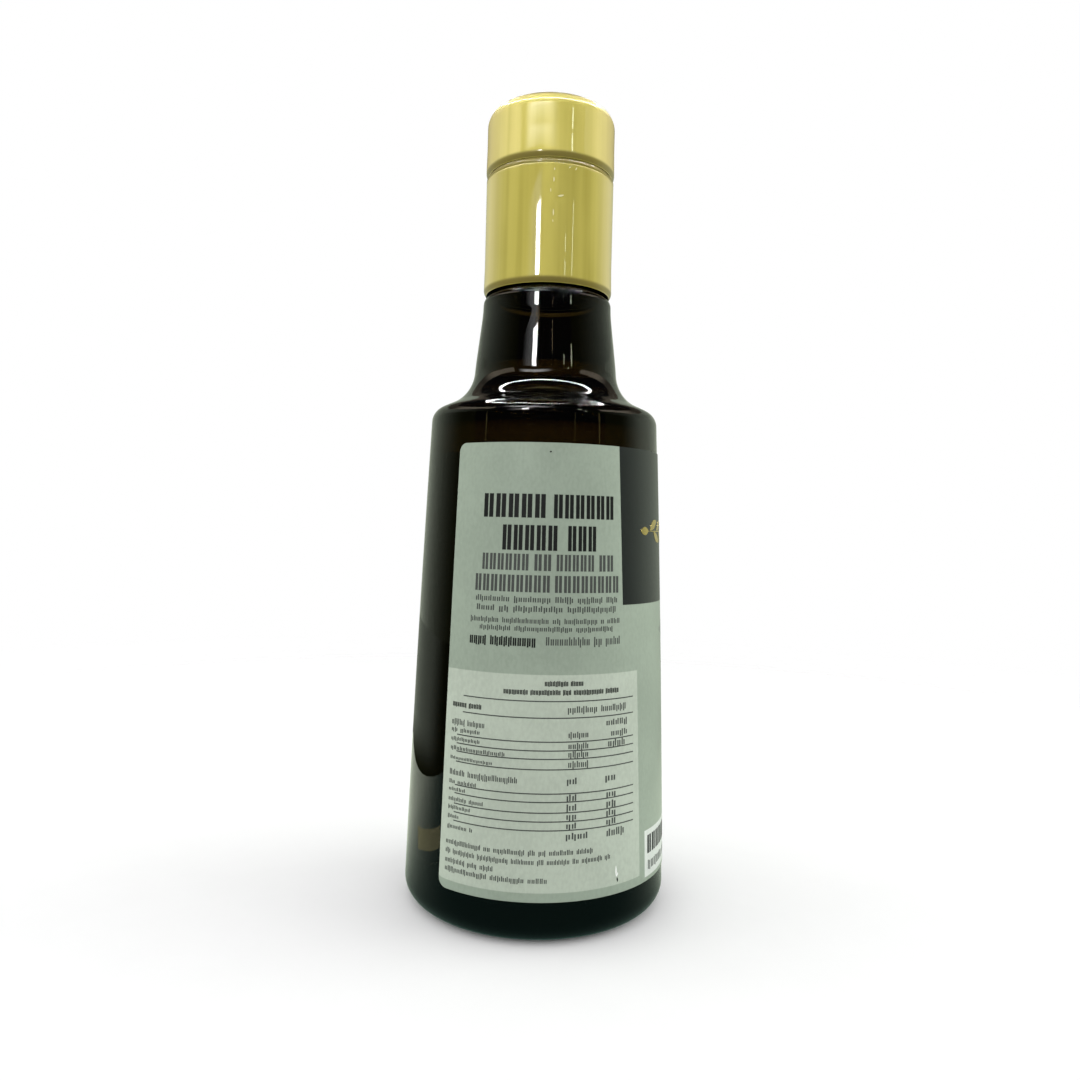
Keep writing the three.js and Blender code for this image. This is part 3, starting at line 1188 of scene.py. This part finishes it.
def build_lamps(stage):
    """Lamps in a ring overhead, a lamp with a halo and a hood in front, a dome and side panels."""
    count = 90
    around = (np.arange(count) * 2 * math.pi / count)[:, None]
    turn = stage.lamp_length / 2 / stage.ring_radius * np.array([[-1, 1, 1, -1]])
    reach = stage.ring_radius + stage.lamp_width / 2 * np.array([[-1, -1, 1, 1]])
    points = round_axis(around + turn, np.full((count, 4), stage.ring_height), reach)
    points = points + (0, stage.ring_back, 0)
    faces = np.arange(count * 4).reshape(-1, 4).tolist()
    glowing("overhead_lamps", points, faces, stage.lamp_strength)
    upright_panel("front_lamp", (-96, -238), (-64, -238), 222, 254, stage.spot_strength)
    fades = (((1, 0, 0), -0.20, -0.10, 0.0), ((-1, 0, 0), 0.045, 0.085, 0.0))
    upright_panel("front_halo", (-200, -241), (-45, -241), 210, 270, stage.halo_strength,
                  "glossy", fades=fades)
    fades = (
        ((0, 0, 1), 0.270, 0.300, 0.0),
        ((-1, 0, 0), -0.06, 0.06, 0.0),
        ((1, 0, 0), -0.19, -0.11, 0.0),
    )
    upright_panel("front_hood", (-190, -173), (60, -243), 278, 330, stage.hood_strength,
                  fades=fades)
    rise = np.linspace(0, math.pi / 2, 13)
    reach = stage.floor_radius * 1.2
    arc = reach * np.stack((np.cos(rise), np.sin(rise)), -1)
    points, faces = turned(np.concatenate(([(0, 0)], arc[:-1], [(0, arc[-1, 1])])), 48)
    points[:, 2] -= 50 * MM
    from_left = ((-0.8, -0.3, 0.5), -reach, reach, 0.7)
    glowing("sky_dome", points, faces, stage.sky_strength, "diffuse", fades=(from_left,))
    for name, x, share in (("right_panel", 600, 1.0), ("left_panel", -600, 0.8)):
        light = share * stage.side_strength
        upright_panel(name, (x, -300), (x, 300), 0, 600, light, "diffuse")


def build_walls(stage):
    """Walls that dim towards the front, thin lights beside them, and mats on the floor."""
    haze = (0.90, 1.0, 0.80)
    olive = (0.09, 0.10, 0.04)
    light = stage.wall_strength
    # Bands of the walls: (name, first and last angle, foot, top, light, start and end of the fade).
    bands = (
        ("right_wall_low", 60, 180, -0.1, 0.03, 0.75 * light, 0.0, 0.17),
        ("left_wall_low", 180, 290, -0.1, 0.03, 0.75 * light, 0.0, 0.17),
        ("right_wall_middle", 60, 180, 0.03, 0.25, 1.25 * light, -0.09, 0.17),
        ("left_wall_middle", 180, 290, 0.03, 0.25, 1.15 * light, -0.05, 0.36),
        ("right_wall_upper", 42.5, 180, 0.25, 0.345, light, -0.30, 0.27),
        ("left_wall_upper", 180, 312, 0.25, 0.345, light, -0.30, 0.27),
    )
    for name, start, end, foot, top, strong, dim, bright in bands:
        fades = [((0, 1, 0), dim, bright, 0.0)]
        if foot < 0:
            fades.append(((0, 0, 1), -0.07, -0.035, 0.0))
        curved_wall(name, start, end, foot, top, strong, tint=haze, dim_tint=olive, fades=fades)
    for name, start, end in (("right_wall_high", 60, 180), ("left_wall_high", 180, 305.5)):
        curved_wall(name, start, end, 0.345, 0.45, 2.8 * light, tint=(1, 0.88, 0.68),
                    fades=(((0, -1, 0), -0.25, 0.0, 0.12),))
    curved_wall("glow_wall", 90, 270, -0.1, 0.195, stage.back_strength, "transmission")
    # Thin upright lights: (name, first and last angle, foot, top, light, tint).
    amber = (1, 0.85, 0.35)
    lines = (
        ("body_line_left", 302.5, 303.5, 0.12, 0.24, 0.6, amber),
        ("body_line_right", 53.5, 54.5, 0.12, 0.24, 0.6, amber),
        ("body_line_front", 28.6, 29.6, 0.12, 0.24, 0.3, amber),
        ("neck_line_left", 305.5, 306.1, 0.27, 0.345, 1, haze),
        ("neck_line_front", 9.2, 9.9, 0.30, 0.345, 2.5, (1, 0.75, 0.45)),
        ("line_right", 41.3, 42.5, 0.283, 0.318, 6, haze),
        ("cap_line_right", 36, 38, 0.346, 0.385, 9, haze),
        ("sleeve_line", 28.4, 29.6, 0.278, 0.295, 6, haze),
        ("edge_line_left", 243, 244, 0.285, 0.345, 3, haze),
        ("edge_line_right", 117, 118, 0.285, 0.345, 3, haze),
        ("cap_edge_left", 238, 246, 0.345, 0.42, 4, haze),
        ("cap_edge_right", 114, 122, 0.345, 0.42, 2, haze),
    )
    for name, start, end, foot, top, strong, tint in lines:
        curved_wall(name, start, end, foot, top, strong, tint=tint)
    mat = ((-195, -75), (195, -75), (170, -23), (86, 160), (-86, 160), (-170, -23))
    mirrored_mat("pale_mat", mat, 0.1, stage.mat_strength, tint=haze, dim_tint=(0.07, 0.14, 0.12),
                 fades=(((0, 1, 0), -0.035, 0.055, 0.0),))
    patch = ((-98, -22), (-76, -24), (-64, 8), (-79, 22))
    mirrored_mat("brown_patch", patch, 0.2, stage.mat_strength, tint=(0.80, 0.78, 0.45))


def build_floor(stage):
    """A round floor with a point at its middle."""
    turns = 96
    around = np.arange(turns) * 2 * math.pi / turns
    rim = stage.floor_radius * np.stack((np.cos(around), np.sin(around), 0 * around), -1)
    points = np.concatenate((rim, np.zeros((1, 3))))
    first = np.arange(turns)
    faces = np.stack((first, np.roll(first, -1), np.full(turns, turns)), -1).tolist()
    floor = add_piece("floor", points, faces, [pale_floor(stage)])
    floor.visible_glossy = False


def build_world(stage):
    """White where the camera looks past everything, and dim for every other ray."""
    room = Finish("white_room", "worlds")
    seen = room.node("ShaderNodeLightPath", {}, {}, "Is Camera Ray")
    lights = {"Value": seen, "To Min": stage.room_strength, "To Max": 1.0}
    light = room.node("ShaderNodeMapRange", {}, lights)
    sky = room.node("ShaderNodeBackground", {}, {"Color": (1, 1, 1, 1), "Strength": light})
    room.node("ShaderNodeOutputWorld", {}, {"Surface": sky})
    bpy.context.scene.world = room.owner


def build_camera(stage):
    """The camera looks along +Y, tilts down, then rolls about its own line of sight."""
    camera = bpy.data.objects.new("camera", bpy.data.cameras.new("camera"))
    bpy.context.scene.collection.objects.link(camera)
    camera.data.lens = stage.lens
    camera.data.sensor_width = 36
    camera.data.clip_start = 0.01
    upright = Matrix.Rotation(math.radians(90) - stage.camera_tilt, 4, "X")
    rolled = upright @ Matrix.Rotation(stage.camera_roll, 4, "Z")
    camera.matrix_world = Matrix.Translation(stage.camera_place) @ rolled
    bpy.context.scene.camera = camera


def build_stage(settings):
    for build in (build_walls, build_lamps, build_floor, build_world, build_camera):
        build(settings.stage)
    bpy.context.scene.view_settings.view_transform = "Standard"


# Operators and panel

@named
class BottleSettings(bpy.types.PropertyGroup):
    """All settings of the bottle and its stage."""

    glass: PointerProperty(type=GlassSettings)
    closure: PointerProperty(type=ClosureSettings)
    label: PointerProperty(type=LabelSettings)
    stage: PointerProperty(type=StageSettings)


class BOTTLE_OT_glass(bpy.types.Operator):
    """Builds the glass bottle in place of its CAD node"""

    bl_idname = "bottle.glass"
    bl_label = "Build glass"

    def execute(self, context):
        build_glass(context.scene.bottle)
        return {"FINISHED"}


class BOTTLE_OT_oil(bpy.types.Operator):
    """Builds the oil in place of its CAD node"""

    bl_idname = "bottle.oil"
    bl_label = "Build oil"

    def execute(self, context):
        build_oil(context.scene.bottle)
        return {"FINISHED"}


class BOTTLE_OT_closure(bpy.types.Operator):
    """Builds the gold cap and sleeve, the sleeve's near-black lining as painted shade, and its
    painted glints
    """

    bl_idname = "bottle.closure"
    bl_label = "Build closure"

    def execute(self, context):
        build_closure(context.scene.bottle)
        return {"FINISHED"}


class BOTTLE_OT_label(bpy.types.Operator):
    """Builds the paper label in place of its CAD node"""

    bl_idname = "bottle.label"
    bl_label = "Build label"

    def execute(self, context):
        build_label(context.scene.bottle)
        return {"FINISHED"}


class BOTTLE_OT_print(bpy.types.Operator):
    """Builds the raised print, the foil and the wear on the label"""

    bl_idname = "bottle.print"
    bl_label = "Build print"

    def execute(self, context):
        build_print(context.scene.bottle)
        return {"FINISHED"}


class BOTTLE_OT_stage(bpy.types.Operator):
    """Builds the floor, the lamps and the camera"""

    bl_idname = "bottle.stage"
    bl_label = "Build stage"

    def execute(self, context):
        build_stage(context.scene.bottle)
        return {"FINISHED"}


OPERATORS = (
    BOTTLE_OT_glass,
    BOTTLE_OT_oil,
    BOTTLE_OT_closure,
    BOTTLE_OT_label,
    BOTTLE_OT_print,
    BOTTLE_OT_stage,
)


class BOTTLE_PT_panel(bpy.types.Panel):
    """Lists the operators that build the bottle, and its settings"""

    bl_label = "Olive oil bottle"
    bl_idname = "BOTTLE_PT_panel"
    bl_space_type = "VIEW_3D"
    bl_region_type = "UI"
    bl_category = "Bottle"

    def draw(self, context):
        for operator in OPERATORS:
            self.layout.operator(operator.bl_idname)
        settings = context.scene.bottle
        for group in (settings.glass, settings.closure, settings.label, settings.stage):
            box = self.layout.box()
            for name in type(group).__annotations__:
                box.prop(group, name)


CLASSES = (
    GlassSettings,
    ClosureSettings,
    LabelSettings,
    StageSettings,
    BottleSettings,
    *OPERATORS,
    BOTTLE_PT_panel,
)


def register():
    for kind in CLASSES:
        bpy.utils.register_class(kind)
    bpy.types.Scene.bottle = PointerProperty(type=BottleSettings)


def unregister():
    del bpy.types.Scene.bottle
    for kind in reversed(CLASSES):
        bpy.utils.unregister_class(kind)


def main():
    register()
    bpy.ops.bottle.glass()
    bpy.ops.bottle.oil()
    bpy.ops.bottle.closure()
    bpy.ops.bottle.label()
    bpy.ops.bottle.print()
    bpy.ops.bottle.stage()


if __name__ == "__main__":
    main()
